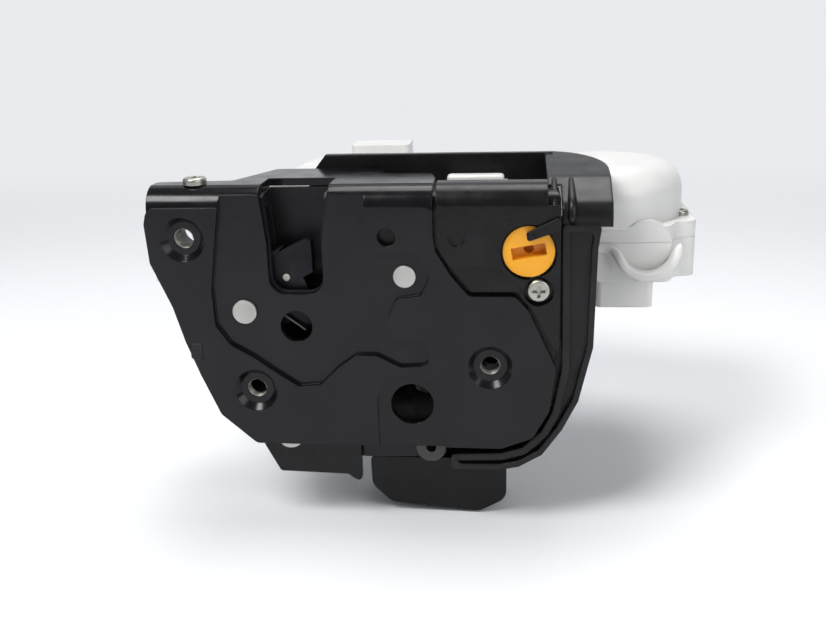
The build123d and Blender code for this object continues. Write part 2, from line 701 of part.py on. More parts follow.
# Inside handle lever on the pawl's pin, with the stud for its cable
with BuildPart() as inside_handle_lever:
    with BuildSketch(at_depth(lever_2)):
        add(rounded(((23.0, -4.0), (26.6, 2.0), (32.4, 0.0), (35.6, -24.0), (36.4, -36.0), (28.0, -38.4),
                     (27.4, -24.0)), 1.5))
        with Locations((pawl_x, pawl_z)):
            Circle(lever_hub_r)
            Circle(pin_r + running_gap, mode=Mode.SUBTRACT)
        with Locations((stud_x, stud_z)):
            Circle(stud_r, mode=Mode.SUBTRACT)
    extrude(amount=-lever_t)
inside_handle_lever.part.label = "inside_handle_lever"
export_step(inside_handle_lever.part, "parts/inside_handle_lever.step")

with BuildPart() as cable_stud:
    for radius, start, end in ((stud_r + 1.8, body_back + 0.4, lever_2), (stud_r, lever_2, lever_2 + lever_t),
                               (stud_r + 0.7, lever_2 + lever_t, lever_2 + lever_t + 0.6)):
        with BuildSketch(at_depth(start)):
            with Locations((stud_x, stud_z)):
                Circle(radius)
        extrude(amount=-(end - start))
cable_stud.part.label = "cable_stud"
export_step(cable_stud.part, "parts/cable_stud.step")

# Child lock: knob with a crank pin, and the forked lever that it swings
knob_back = body_back + 0.1 + knob_flange_t
with BuildPart() as child_lock_knob:
    for radius, start, end in ((knob_r, knob_face, body_back + 0.1),
                               (knob_flange_r, body_back + 0.1, knob_back)):
        with BuildSketch(at_depth(start)):
            with Locations((knob_x, knob_z)):
                Circle(radius)
        extrude(amount=-(end - start))
    with BuildSketch(at_depth(knob_face)):
        with Locations((knob_x, knob_z)):
            Rectangle(8.4, 3.0, rotation=10)
    extrude(amount=-3.6, mode=Mode.SUBTRACT)
    with BuildSketch(at_depth(knob_face)):
        with Locations((knob_x, knob_z)):
            Circle(1.25)
    extrude(amount=-6.5, mode=Mode.SUBTRACT)
    with BuildSketch(at_depth(knob_back)):
        with Locations(polar(knob_x, knob_z, child_pin_throw, child_dir + 180 + knob_turn / 2)):
            Circle(child_pin_r)
    extrude(amount=-(lever_1 + lever_t - knob_back))
child_lock_knob.part.label = "child_lock_knob"
export_step(child_lock_knob.part, "parts/child_lock_knob.step")

child_x, child_z = child_pivot
fork_half = child_pin_r + 0.25
with BuildPart() as child_lock_lever:
    with BuildSketch(at_depth(lever_1)):
        with Locations((child_x, child_z)):
            with Locations(Location((0, 0, 0), (0, 0, child_rest))):
                Polygon((-13.0, -2.2), (13.6, -3.6), (13.6, 3.6), (-13.0, 2.2), align=None)
        with Locations((child_x, child_z)):
            Circle(4.6)
            Circle(small_pin_r + running_gap, mode=Mode.SUBTRACT)
            with Locations(Location((0, 0, 0), (0, 0, child_rest))):
                Polygon((7.6, -fork_half), (14, -fork_half), (14, fork_half), (7.6, fork_half), align=None,
                        mode=Mode.SUBTRACT)
    extrude(amount=-lever_t)
child_lock_lever.part.label = "child_lock_lever"
export_step(child_lock_lever.part, "parts/child_lock_lever.step")

with BuildPart() as child_lever_pin:
    for radius, start, end in ((small_pin_r, body_front + 1, lever_1 + lever_t + 0.1),
                               (small_pin_r + 1.2, lever_1 + lever_t + 0.1, lever_1 + lever_t + 0.8)):
        with BuildSketch(at_depth(start)):
            with Locations((child_x, child_z)):
                Circle(radius)
        extrude(amount=-(end - start))
child_lever_pin.part.label = "child_lever_pin"
export_step(child_lever_pin.part, "parts/child_lever_pin.step")

# Resin cover beside the steel plate, its top edge rolled over like the plate's
cover_left = plate_right + slit
cover_top_y = cover_front + bend_r + 2.5
cover_points = (
    (cover_left, bend_z + 1), (cover_left, 10.2), (36.3, 6.3), (39.9, 0.3), (44.0, -4.8), (55.4, -4.8),
    (59.2, -8.9),
    (66.0, -22.0), (66.0, bend_z + 1),
)
with BuildPart() as corner_cover:
    with BuildSketch(at_depth(cover_front)):
        add(rounded(cover_points, 0.8))
    extrude(amount=-cover_t)
    with BuildSketch(Plane.YZ.offset(cover_left)):
        with BuildLine():
            Line((cover_front, bend_z - 2), (cover_front, bend_z))
            RadiusArc((cover_front, bend_z), (cover_front + bend_r, flange_top), bend_r)
            Polyline((cover_front + bend_r, flange_top), (cover_top_y, flange_top), (cover_top_y, flange_in),
                     (cover_front + bend_r, flange_in))
            RadiusArc((cover_front + bend_r, flange_in), (cover_front + cover_t, bend_z), cover_t - bend_r)
            Polyline((cover_front + cover_t, bend_z), (cover_front + cover_t, bend_z - 2),
                     (cover_front, bend_z - 2))
        make_face()
    extrude(amount=62.8 - cover_left)
    with BuildSketch(at_depth(0)):
        with Locations((knob_x, knob_z)):
            Circle(knob_r + 0.5)
        with Locations((screw_x, screw_z)):
            Circle(screw_head_r + 0.8)
    extrude(amount=-5, mode=Mode.SUBTRACT)
    with BuildSketch(at_depth(0)):
        add(rounded(((38.6, 1.6), (42.8, 2.0), (47.2, 2.0), (51.6, 1.0), (54.0, -1.3), (56.4, -3.4),
                     (56.0, -12.0),
                     (38.0, -12.0)), 0.5))
        with Locations((40.7, 9.0)):
            Circle(2.0)
    extrude(amount=-(cover_front + 0.8), mode=Mode.SUBTRACT)
corner_cover.part.label = "corner_cover"
export_step(corner_cover.part, "parts/corner_cover.step")


# Cross-head screw, its head towards the front
def head_screw(x, z, head_r, head_y, shank_r, end):
    with BuildPart() as body:
        with BuildSketch(at_depth(head_y)):
            with Locations((x, z)):
                Circle(head_r)
        extrude(amount=-head_t)
        fillet(body.edges().filter_by(GeomType.CIRCLE).sort_by(Axis.Y)[0], 0.8)
        with BuildSketch(at_depth(head_y + head_t)):
            with Locations((x, z)):
                Circle(shank_r)
        extrude(amount=-(end - head_y - head_t))
        with BuildSketch(at_depth(head_y)):
            with Locations((x, z)):
                Rectangle(0.8, 3.2)
                Rectangle(3.2, 0.8)
        extrude(amount=-1.2, mode=Mode.SUBTRACT)
    return body.part


with BuildPart() as cover_screw:
    add(head_screw(screw_x, screw_z, screw_head_r, body_front - head_t, small_pin_r, body_back - 1))
cover_screw.part.label = "cover_screw"
export_step(cover_screw.part, "parts/cover_screw.step")

# Clip finger over the knob's rim
with BuildPart() as knob_clip:
    with BuildSketch(at_depth(cover_front - 1.2)):
        add(rounded(((66.0, 14.6), (57.6, 10.6), (57.9, 8.4), (66.0, 11.2)), 0.7))
    extrude(amount=-1.2)
    with BuildSketch(at_depth(cover_front - 1.8)):
        with Locations((59.0, 9.6)):
            Circle(0.7)
    extrude(amount=-1.0)
knob_clip.part.label = "knob_clip"
export_step(knob_clip.part, "parts/knob_clip.step")

# Flange screw and the small stop on the plate's left edge
with BuildPart() as flange_screw:
    with BuildSketch(Plane.XY.offset(flange_top)):
        with Locations((flange_screw_x, flange_screw_y)):
            Circle(3.0)
    extrude(amount=head_t)
    fillet(flange_screw.edges().filter_by(GeomType.CIRCLE).sort_by(Axis.Z)[-1], 0.8)
    with BuildSketch(Plane.XY.offset(flange_top)):
        with Locations((flange_screw_x, flange_screw_y)):
            Circle(small_pin_r)
    extrude(amount=-(flange_t + flange_screw_deep))
    with BuildSketch(Plane.XY.offset(flange_top + head_t)):
        with Locations((flange_screw_x, flange_screw_y)):
            Rectangle(0.8, 3.2)
            Rectangle(3.2, 0.8)
    extrude(amount=-1.0, mode=Mode.SUBTRACT)
flange_screw.part.label = "flange_screw"
export_step(flange_screw.part, "parts/flange_screw.step")

with BuildPart() as stop_tab:
    with BuildSketch(at_depth(0)):
        with Locations((stop_x, stop_z)):
            RectangleRounded(stop_w, stop_h, 0.5)
    extrude(amount=-stop_t)
    with BuildSketch(at_depth(stop_t)):
        with Locations((stop_x, stop_z)):
            Circle(stop_r)
    extrude(amount=stop_t - plate_t)
stop_tab.part.label = "stop_tab"
export_step(stop_tab.part, "parts/stop_tab.step")

# Sealing frame: lipped band at the right and below, hood over the corner, strip along the top
frame_face = rounded(frame_outer + frame_inner, 1.0)
hood_wall_y = strip_back - frame_t
with BuildPart() as hood_void:
    with BuildSketch(Plane.YZ.offset(hood_left - 1)):
        with BuildLine():
            FilletPolyline((4.2, 10), (4.2, 15.4), (12.6, 19.9), (hood_wall_y, frame_top - frame_t),
                           radius=3.5)
            Polyline((hood_wall_y, frame_top - frame_t), (hood_wall_y, 10), (4.2, 10))
        make_face()
    extrude(amount=frame_right - frame_t - hood_left + 1)
    with BuildSketch(Plane.XY):
        add(rounded(((0, -5), (frame_right - frame_t, -5), (frame_right - frame_t, hood_wall_y),
                     (0, hood_wall_y)),
                    (0, 0, corner_r - frame_t, 0)))
    extrude(amount=40, mode=Mode.INTERSECT)
with BuildPart() as dome_room:
    with Locations((dome_x, dome_y, 0)):
        Cylinder(dome_r + seat, dome_top + seat, align=(Align.CENTER, Align.CENTER, Align.MIN))
    fillet(dome_room.edges().filter_by(GeomType.CIRCLE).sort_by(Axis.Z)[-1], dome_edge_r)
with BuildPart() as sealing_frame:
    with BuildSketch(Plane.YZ.offset(hood_left)):
        with BuildLine():
            FilletPolyline((2.0, 11.4), (2.0, 16.4), (12.0, 22.2), (strip_back, frame_top), radius=5)
            Polyline((strip_back, frame_top), (strip_back, 11.4), (2.0, 11.4))
        make_face()
    extrude(amount=frame_right - hood_left)
    with BuildSketch(Plane.XY):
        add(rounded(((0, -5), (frame_right, -5), (frame_right, strip_back), (0, strip_back)),
                    (0, 0, corner_r, 0)))
    extrude(amount=40, mode=Mode.INTERSECT)
    add(hood_void.part, mode=Mode.SUBTRACT)
    with BuildSketch(at_depth(hood_wall_y)):
        with BuildLine():
            Polyline((-1.6, case_top + seat), (-1.6, 19.0), (3.4, frame_top), (hood_left + 2, frame_top),
                     (hood_left + 2, case_top + seat), close=True)
        make_face()
    extrude(amount=-frame_t)
    with Locations((0, 0, 0)):
        Box(66.0 + seat, body_back + seat, flange_in + seat, align=Align.MIN, mode=Mode.SUBTRACT)
    add(dome_room.part, mode=Mode.SUBTRACT)
    # band: base, inner step, outer lip and skirt
    with BuildSketch(at_depth(frame_back - 2.0)):
        add(frame_face)
    extrude(amount=-2.0)
    with BuildSketch(at_depth(1.2)):
        add(frame_face)
        add(grown(rounded(frame_inner + ((50.0, 12.0), (50.0, -30.0), (38.5, -30.0)), 0.5), 2.0),
            mode=Mode.INTERSECT)
    extrude(amount=-(frame_back - 1.2))
    with BuildSketch(at_depth(frame_front)):
        add(frame_face)
        add(grown(rounded(rim_points, 3.0), -1.5), mode=Mode.SUBTRACT)
    extrude(amount=-(frame_back - frame_front))
    with BuildSketch(at_depth(frame_back)):
        add(frame_face)
        add(grown(rounded(rim_points, 3.0), -skirt_t), mode=Mode.SUBTRACT)
        with Locations((36, -40)):
            Rectangle(40, 60, mode=Mode.SUBTRACT)
    extrude(amount=-(skirt_end - frame_back))
sealing_frame.part.label = "sealing_frame"
export_step(sealing_frame.part, "parts/sealing_frame.step")

# Lower cover: a tray open at the rear, its hook behind the body and its shield behind the levers
lower_points = ((16.0, -53.6), (16.2, -62.0), (21.5, -67.2), (45.5, -69.4), (52.8, -65.5), (52.8, -53.6))
lower_face = rounded(lower_points, (1.0, 4.0, 4.0, 4.0, 4.0, 1.0))
shield_points = ((-19.0, -40.0), (-19.0, -23.0), (56.0, -23.0), (56.0, -36.0), (50.0, -57.0), (20.0, -57.0),
                 (14.0, -44.0))
with BuildPart() as lower_cover:
    with BuildSketch(at_depth(lower_front)):
        add(lower_face)
    extrude(amount=-(lower_back - lower_front))
    with BuildSketch(at_depth(lower_front + case_wall)):
        add(grown(lower_face, -case_wall))
    extrude(amount=-30, mode=Mode.SUBTRACT)
    # splash shield that closes the rear of the head behind its levers
    with BuildSketch(at_depth(lower_back - case_wall)):
        add(rounded(shield_points, 3.0))
    extrude(amount=-case_wall)
    with BuildSketch(at_depth(body_back + seat)):
        add(straight(((41.0, -55.0), (41.0, -39.0), (51.0, -39.0), (51.0, -55.0))))
    extrude(amount=-2.2)
lower_cover.part.label = "lower_cover"
export_step(lower_cover.part, "parts/lower_cover.step")


# Gear teeth on an involute of this pressure angle, thinned for backlash
def teeth_face(x, y, count, first, last, thin, root_r, tip_r, turn):
    pitch_r = module * count / 2
    base_r = pitch_r * cos(radians(pressure))

    def half(r):
        if r <= base_r:
            return half(base_r + 0.001)
        a = acos(base_r / r)
        b = radians(pressure)
        return 90 / count + degrees((tan(b) - b) - (tan(a) - a)) - degrees(thin / 2 / pitch_r)

    radii = (root_r, base_r if base_r > root_r else pitch_r - 0.6, pitch_r, tip_r)
    outline = []
    for tooth in range(first, last):
        mid = turn + 360 * tooth / count
        outline += [polar(x, y, r, mid - half(r)) for r in radii]
        outline += [polar(x, y, r, mid + half(r)) for r in reversed(radii)]
    return outline


# Worm wheel with its pinion
wheel_r = module * wheel_teeth / 2
with BuildPart() as worm_wheel:
    with BuildSketch(Plane.XY.offset(wheel_base)):
        add(straight(teeth_face(wheel_x, wheel_y, wheel_teeth, 0, wheel_teeth, 0.5, wheel_r - 1.25,
                                wheel_r + 1,
                                180 / wheel_teeth)))
    extrude(amount=wheel_w)
    with BuildSketch(Plane.XY.offset(wheel_base + 1.8)):
        with Locations((wheel_x, wheel_y)):
            Circle(wheel_r - 3.2)
            Circle(9.0, mode=Mode.SUBTRACT)
    extrude(amount=wheel_w, mode=Mode.SUBTRACT)
    with BuildSketch(Plane.XY.offset(wheel_base + wheel_w)):
        add(straight(teeth_face(wheel_x, wheel_y, pinion_teeth, 0, pinion_teeth, 0.12, 4.8, 6.9, 0)))
    extrude(amount=pinion_w)
    with BuildSketch(Plane.XY.offset(wheel_base)):
        with Locations((wheel_x, wheel_y)):
            Circle(wheel_pin_r + running_gap)
    extrude(amount=30, mode=Mode.SUBTRACT)
worm_wheel.part.label = "worm_wheel"
export_step(worm_wheel.part, "parts/worm_wheel.step")

# Worm on the motor's shaft: one right-hand thread
thread_pitch = pi * module
thread_start = wheel_y - 3.5 * thread_pitch
thread_turns = 4.6
with BuildPart() as worm_core:
    with BuildSketch(Plane.XZ.offset(-(thread_start - 2))):
        with Locations((worm_x, worm_z)):
            Circle(worm_root_r)
    extrude(amount=-(thread_turns * thread_pitch + 2.7))
    with BuildSketch(Plane.XZ.offset(-(case_front + 2.2))):
        with Locations((worm_x, worm_z)):
            Circle(worm_shaft_r)
    extrude(amount=-(motor_y + 3 - case_front - 2.2))
with BuildPart() as thread:
    thread_path = Helix(pitch=thread_pitch, height=thread_turns * thread_pitch, radius=worm_root_r - 0.15,
                        center=(0, 0, 0), direction=(0, 0, 1))
    with BuildSketch(Plane(origin=thread_path @ 0, x_dir=(1, 0, 0), z_dir=thread_path % 0)):
        Polygon((0, -0.65), (5.0 - worm_root_r + 0.15, -0.35), (5.0 - worm_root_r + 0.15, 0.35), (0, 0.65),
                align=None)
    sweep(path=thread_path, is_frenet=True)
with BuildPart() as worm:
    add(worm_core.part)
    add(thread.part.moved(Location((worm_x, thread_start, worm_z)) * Location((0, 0, 0), (-90, 0, 0))))
worm.part.label = "worm"
export_step(worm.part, "parts/worm.step")

# Motor
with BuildPart() as motor:
    with BuildSketch(Plane.XZ.offset(-motor_y)):
        with Locations((worm_x, worm_z)):
            Circle(motor_r)
            Rectangle(30, 2 * motor_flat, mode=Mode.INTERSECT)
    extrude(amount=-motor_len)
    with BuildSketch(Plane.XZ.offset(-motor_y)):
        with Locations((worm_x, worm_z)):
            Circle(3.0)
    extrude(amount=1.5)
    with BuildSketch(Plane.XZ.offset(-(motor_y - 1.5))):
        with Locations((worm_x, worm_z)):
            Circle(worm_shaft_r + running_gap)
    extrude(amount=-6, mode=Mode.SUBTRACT)
motor.part.label = "motor"
export_step(motor.part, "parts/motor.step")

# Lock lever: toothed sector driven by the pinion, hub and front arm
sector_r = module * sector_teeth / 2
lock_low = wheel_base + wheel_w + 0.8
with BuildPart() as lock_lever:
    with BuildSketch(Plane.XY.offset(lock_low)):
        sector_outline = teeth_face(lock_x, wheel_y, sector_teeth, -2, 6, 0.12, sector_r - 1.25,
                                    sector_r + 0.8,
                                    180 / sector_teeth)
        add(straight([(lock_x, wheel_y)] + sector_outline))
        with Locations((lock_x, wheel_y)):
            Circle(lock_hub_r)
    extrude(amount=sector_w)
    with BuildSketch(Plane.XY.offset(lock_low + sector_w - lock_arm_t)):
        with Locations((lock_x, wheel_y)):
            with Locations(Location((0, 0, 0), (0, 0, lock_arm_angle))):
                Polygon((0, -3.4), (lock_arm, -2.2), (lock_arm, 2.2), (0, 3.4), align=None)
    extrude(amount=lock_arm_t)
    with BuildSketch(Plane.XY.offset(lock_low)):
        with Locations((lock_x, wheel_y)):
            Circle(wheel_pin_r + running_gap)
    extrude(amount=30, mode=Mode.SUBTRACT)
lock_lever.part.label = "lock_lever"
export_step(lock_lever.part, "parts/lock_lever.step")

with BuildPart() as wheel_pin:
    for radius, start, end in ((wheel_pin_r, case_base + 0.8, pin_top),
                               (wheel_pin_r + 1.0, pin_top, pin_top + 0.8)):
        with BuildSketch(Plane.XY.offset(start)):
            with Locations((wheel_x, wheel_y)):
                Circle(radius)
        extrude(amount=end - start)
wheel_pin.part.label = "wheel_pin"
export_step(wheel_pin.part, "parts/wheel_pin.step")

with BuildPart() as lock_lever_pin:
    for radius, start, end in ((wheel_pin_r, case_base + 0.8, pin_top),
                               (wheel_pin_r + 1.0, pin_top, pin_top + 0.8)):
        with BuildSketch(Plane.XY.offset(start)):
            with Locations((lock_x, wheel_y)):
                Circle(radius)
        extrude(amount=end - start)
lock_lever_pin.part.label = "lock_lever_pin"
export_step(lock_lever_pin.part, "parts/lock_lever_pin.step")

# Contact board and the six terminals of the connector
with BuildPart() as contact_board:
    with BuildSketch(Plane.XY.offset(board_z)):
        add(rounded(((76.0, 27.6), (94.4, 27.6), (94.4, 49.0), (76.0, 49.0)), 1.5))
        with Locations((84.2, 34.0)):
            with GridLocations(4.4, 5.4, 3, 2):
                Rectangle(1.5, 0.8, mode=Mode.SUBTRACT)
    extrude(amount=1.6)
contact_board.part.label = "contact_board"
export_step(contact_board.part, "parts/contact_board.step")

with BuildPart() as connector_terminals:
    with BuildSketch(Plane.XY.offset(shroud_low + 3.0)):
        with Locations((84.2, 34.0)):
            with GridLocations(4.4, 5.4, 3, 2):
                Rectangle(1.5, 0.8)
    extrude(amount=board_z + 1.6 - shroud_low - 3.0)
    with BuildSketch(Plane.XY.offset(board_z + 1.6)):
        with Locations((84.2, 34.0)):
            with GridLocations(4.4, 5.4, 3, 2):
                Rectangle(2.2, 1.4)
            Rectangle(10.4, 6.8)
            Rectangle(6.4, 3.2, mode=Mode.SUBTRACT)
    extrude(amount=0.5)
connector_terminals.part.label = "connector_terminals"
export_step(connector_terminals.part, "parts/connector_terminals.step")

# Actuator case, lower shell
case_points = (
    (-18.0, 24.0), (95.4, 24.0), (98.0, 30.0), (103.5, 31.0), (103.5, 90.0), (76.0, 93.0), (62.0, 101.0),
    (-2.0, 101.0), (-13.5, 92.0), (-18.5, 62.0),
)
case_face = rounded(case_points, 3.0)
lug_points = ((-45.5, 24.0), (-16.0, 24.0), (-16.0, 46.0), (-38.0, 46.0), (-45.5, 40.0))
case_void = grown(case_face, -case_wall)
with BuildPart() as case_lower:
    with BuildSketch(Plane.XY.offset(case_base)):
        add(case_face)
    extrude(amount=split_z - case_base)
    with BuildSketch(Plane.XY.offset(case_base)):
        add(rounded(((worm_x - 12.5, 58.0), (worm_x + 12.9, 58.0), (worm_x + 12.9, 89.0),
                     (worm_x - 12.5, 89.0)), 3.0))
    extrude(amount=-1.4)
    with BuildSketch(Plane.XY.offset(case_base)):
        add(rounded(lug_points, 2.5))
    extrude(amount=0.5 - case_base)
    with BuildSketch(at_depth(case_front)):
        add(rounded(((57.0, -6.0), (57.0, -16.0), (67.0, -16.0), (67.0, -6.0)), 2.0))
        with Locations((worm_x, worm_z)):
            Circle(bulge_r)
        with Locations((worm_x, split_z + 10)):
            Rectangle(20, 20, mode=Mode.SUBTRACT)
    extrude(amount=-4.0)
    with BuildSketch(Plane.XY.offset(case_base + case_wall)):
        add(case_void)
    extrude(amount=20, mode=Mode.SUBTRACT)
    with BuildSketch(Plane.XY.offset(case_base)):
        add(rounded(((worm_x - 10.3, 60.4), (worm_x + 10.4, 60.4), (worm_x + 10.4, 87.4),
                     (worm_x - 10.3, 87.4)), 1.0))
    extrude(amount=3, mode=Mode.SUBTRACT)
    # bosses of the two gear pins, the case screws and the worm's front bearing
    for boss_x, boss_y, boss_r, boss_top in (
            (wheel_x, wheel_y, 4.4, wheel_base - 0.2), (lock_x, wheel_y, 4.4, lock_low - 0.2),
            *((x, y, screw_boss_r, split_z) for x, y in case_screw_points)):
        with BuildSketch(Plane.XY.offset(case_base)):
            with Locations((boss_x, boss_y)):
                Circle(boss_r)
        extrude(amount=boss_top - case_base)
    for pin_x in (wheel_x, lock_x):
        with BuildSketch(Plane.XY.offset(case_base + 0.8)):
            with Locations((pin_x, wheel_y)):
                Circle(wheel_pin_r)
        extrude(amount=30, mode=Mode.SUBTRACT)
    for hole_x, hole_y in case_screw_points:
        with BuildSketch(Plane.XY.offset(case_base)):
            with Locations((hole_x, hole_y)):
                Circle(case_screw_r)
        extrude(amount=30, mode=Mode.SUBTRACT)
    with BuildSketch(at_depth(case_front + 1.3)):
        with Locations((worm_x, worm_z)):
            Circle(bulge_r - 1.3)
    extrude(amount=-12, mode=Mode.SUBTRACT)
    # connector shroud, open downwards
    with BuildSketch(Plane.XY.offset(shroud_low)):
        add(rounded(((76.5, 25.5), (92.0, 25.5), (92.0, 43.0), (76.5, 43.0)), 2.0))
        add(rounded(((78.0, 27.0), (90.5, 27.0), (90.5, 41.5), (78.0, 41.5)), 1.0), mode=Mode.SUBTRACT)
    extrude(amount=case_base - shroud_low)
    with BuildSketch(Plane.XY.offset(case_base)):
        with Locations((84.2, 34.0)):
            with GridLocations(4.4, 5.4, 3, 2):
                Rectangle(1.5, 0.8)
    extrude(amount=10, mode=Mode.SUBTRACT)
    # holes of the joining screws
    for (post_x, post_z), seat_y in zip(post_points, joining_seats):
        with BuildSketch(at_depth(case_front)):
            with Locations((post_x, post_z)):
                Circle(joining_r)
        extrude(amount=-40, mode=Mode.SUBTRACT)
        with BuildSketch(at_depth(seat_y)):
            with Locations((post_x, post_z)):
                Circle(3.4)
        extrude(amount=-40, mode=Mode.SUBTRACT)
case_lower.part.label = "case_lower"
export_step(case_lower.part, "parts/case_lower.step")

# Actuator case, upper shell: rim, humps over levers and motor, dome over the wheel, raised box
hump_points = ((-16.0, 25.0), (60.0, 25.0), (64.0, 30.0), (64.0, 70.0), (61.0, 99.5), (-1.0, 99.5),
               (-11.8, 91.0),
               (-16.5, 62.0))
hump_face = rounded(hump_points, 3.0)
motor_hump_face = rounded(((worm_x - 12.5, 50.0), (worm_x + 12.5, 50.0), (worm_x + 12.5, 88.0),
                           (worm_x - 12.5, 88.0)), 3.0)
with BuildPart() as dome:
    with Locations((dome_x, dome_y, rim_top - 1)):
        Cylinder(dome_r, dome_top - rim_top + 1, align=(Align.CENTER, Align.CENTER, Align.MIN))
    fillet(dome.edges().filter_by(GeomType.CIRCLE).sort_by(Axis.Z)[-1], dome_edge_r)
with BuildPart() as dome_void:
    with Locations((dome_x, dome_y, split_z)):
        Cylinder(dome_r - case_wall, dome_top - case_wall - split_z,
                 align=(Align.CENTER, Align.CENTER, Align.MIN))
    fillet(dome_void.edges().filter_by(GeomType.CIRCLE).sort_by(Axis.Z)[-1], dome_edge_r - case_wall)
with BuildPart() as case_upper:
    with BuildSketch(Plane.XY.offset(split_z)):
        add(case_face)
    extrude(amount=rim_top - split_z)
    with BuildSketch(Plane.XY.offset(rim_top)):
        add(hump_face)
    extrude(amount=case_top - rim_top)
    fillet(case_upper.faces().sort_by(Axis.Z)[-1].edges(), 2.0)
    with BuildSketch(Plane.XY.offset(rim_top - 1)):
        add(motor_hump_face)
    extrude(amount=motor_top - rim_top + 1)
    add(dome.part)
    with BuildSketch(Plane.XY.offset(case_top - 1)):
        add(rounded(((2.0, 85.0), (21.0, 85.0), (21.0, 98.5), (2.0, 98.5)), 2.0))
    extrude(amount=5.5)
    with BuildSketch(Plane.XY.offset(case_top - 1)):
        add(rounded(((38.5, 22.4), (53.0, 22.4), (53.0, 27.6), (38.5, 27.6)), 0.8))
    extrude(amount=4.0)
    with BuildSketch(at_depth(case_front)):
        with Locations((worm_x, worm_z)):
            Circle(bulge_r)
        with Locations((worm_x, worm_z - 20)):
            Rectangle(40, 40 + 2 * (split_z - worm_z), mode=Mode.SUBTRACT)
    extrude(amount=-10)
    # rooms inside
    with BuildSketch(Plane.XY.offset(split_z)):
        add(case_void)
    extrude(amount=rim_top - case_wall - split_z, mode=Mode.SUBTRACT)
    with BuildSketch(Plane.XY.offset(split_z)):
        add(grown(hump_face, -case_wall))
    extrude(amount=case_top - case_wall - split_z, mode=Mode.SUBTRACT)
    with BuildSketch(Plane.XY.offset(split_z)):
        add(grown(motor_hump_face, -case_wall))
    extrude(amount=motor_top - case_wall - split_z, mode=Mode.SUBTRACT)
    add(dome_void.part, mode=Mode.SUBTRACT)
    with BuildSketch(at_depth(case_front + 1.3)):
        with Locations((worm_x, worm_z)):
            Circle(bulge_r - 1.3)
    extrude(amount=-12, mode=Mode.SUBTRACT)
    for boss_x, boss_y in case_screw_points:
        with BuildSketch(Plane.XY.offset(split_z)):
            with Locations((boss_x, boss_y)):
                Circle(screw_boss_r)
        extrude(amount=rim_top - split_z)
    for boss_x, boss_y in case_screw_points:
        with BuildSketch(Plane.XY.offset(split_z)):
            with Locations((boss_x, boss_y)):
                Circle(case_screw_r)
        extrude(amount=3.4, mode=Mode.SUBTRACT)
    # window for the lock lever's arm
    with BuildSketch(at_depth(case_front - 1)):
        add(rounded(((33.6, 6.6), (55.4, 6.6), (55.4, 12.0), (33.6, 12.0)), 0.8))
    extrude(amount=-4, mode=Mode.SUBTRACT)
    # bearing of the worm's shaft
case_upper.part.label = "case_upper"
export_step(case_upper.part, "parts/case_upper.step")

with BuildPart() as worm_bearing:
    with BuildSketch(at_depth(case_front + 1.4)):
        with Locations((worm_x, worm_z)):
            Circle(bulge_r - 1.4)
            Circle(worm_shaft_r + running_gap, mode=Mode.SUBTRACT)
    extrude(amount=-3.0)
worm_bearing.part.label = "worm_bearing"
export_step(worm_bearing.part, "parts/worm_bearing.step")

# Case screws from below, and the two screws that join head and case
with BuildPart() as case_screws:
    for hole_x, hole_y in case_screw_points:
        with BuildSketch(Plane.XY.offset(case_base)):
            with Locations((hole_x, hole_y)):
                Circle(case_screw_r)
        extrude(amount=split_z + 3.0 - case_base)
        with BuildSketch(Plane.XY.offset(case_base)):
            with Locations((hole_x, hole_y)):
                Circle(2.8)
        extrude(amount=-head_t)
case_screws.part.label = "case_screws"
export_step(case_screws.part, "parts/case_screws.step")

with BuildPart() as joining_screws:
    for (post_x, post_z), seat_y in zip(post_points, joining_seats):
        with BuildSketch(at_depth(case_front - joining_deep + 0.5)):
            with Locations((post_x, post_z)):
                Circle(joining_r)
        extrude(amount=-(seat_y - case_front + joining_deep - 0.5))
        with BuildSketch(at_depth(seat_y)):
            with Locations((post_x, post_z)):
                Circle(2.9)
        extrude(amount=-head_t)
joining_screws.part.label = "joining_screws"
export_step(joining_screws.part, "parts/joining_screws.step")
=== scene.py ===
import json
import math

import bmesh
import bpy
import numpy as np
from mathutils import Matrix


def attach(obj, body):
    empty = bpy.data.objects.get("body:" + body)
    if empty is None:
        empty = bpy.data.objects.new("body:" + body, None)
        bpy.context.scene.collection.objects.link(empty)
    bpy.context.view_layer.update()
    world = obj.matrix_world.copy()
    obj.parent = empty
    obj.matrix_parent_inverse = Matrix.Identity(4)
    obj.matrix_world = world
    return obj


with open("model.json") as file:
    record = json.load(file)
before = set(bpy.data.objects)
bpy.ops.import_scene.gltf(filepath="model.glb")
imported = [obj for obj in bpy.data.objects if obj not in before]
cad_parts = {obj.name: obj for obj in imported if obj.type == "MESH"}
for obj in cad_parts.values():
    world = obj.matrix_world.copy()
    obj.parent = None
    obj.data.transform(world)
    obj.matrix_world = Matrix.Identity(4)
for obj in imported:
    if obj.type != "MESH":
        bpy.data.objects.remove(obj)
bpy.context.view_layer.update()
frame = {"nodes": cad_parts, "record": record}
print("frame loaded:", len(frame["nodes"]), "nodes")

mm = 0.001
scene = bpy.context.scene


# Camera: turned 6 degrees to the left, pitched 17 degrees down and rolled 1.6 degrees
camera = {"place": (54.6, -237.6, 64.1), "turn": 6.0, "pitch": 17.0, "roll": 1.6, "lens": 43.58}


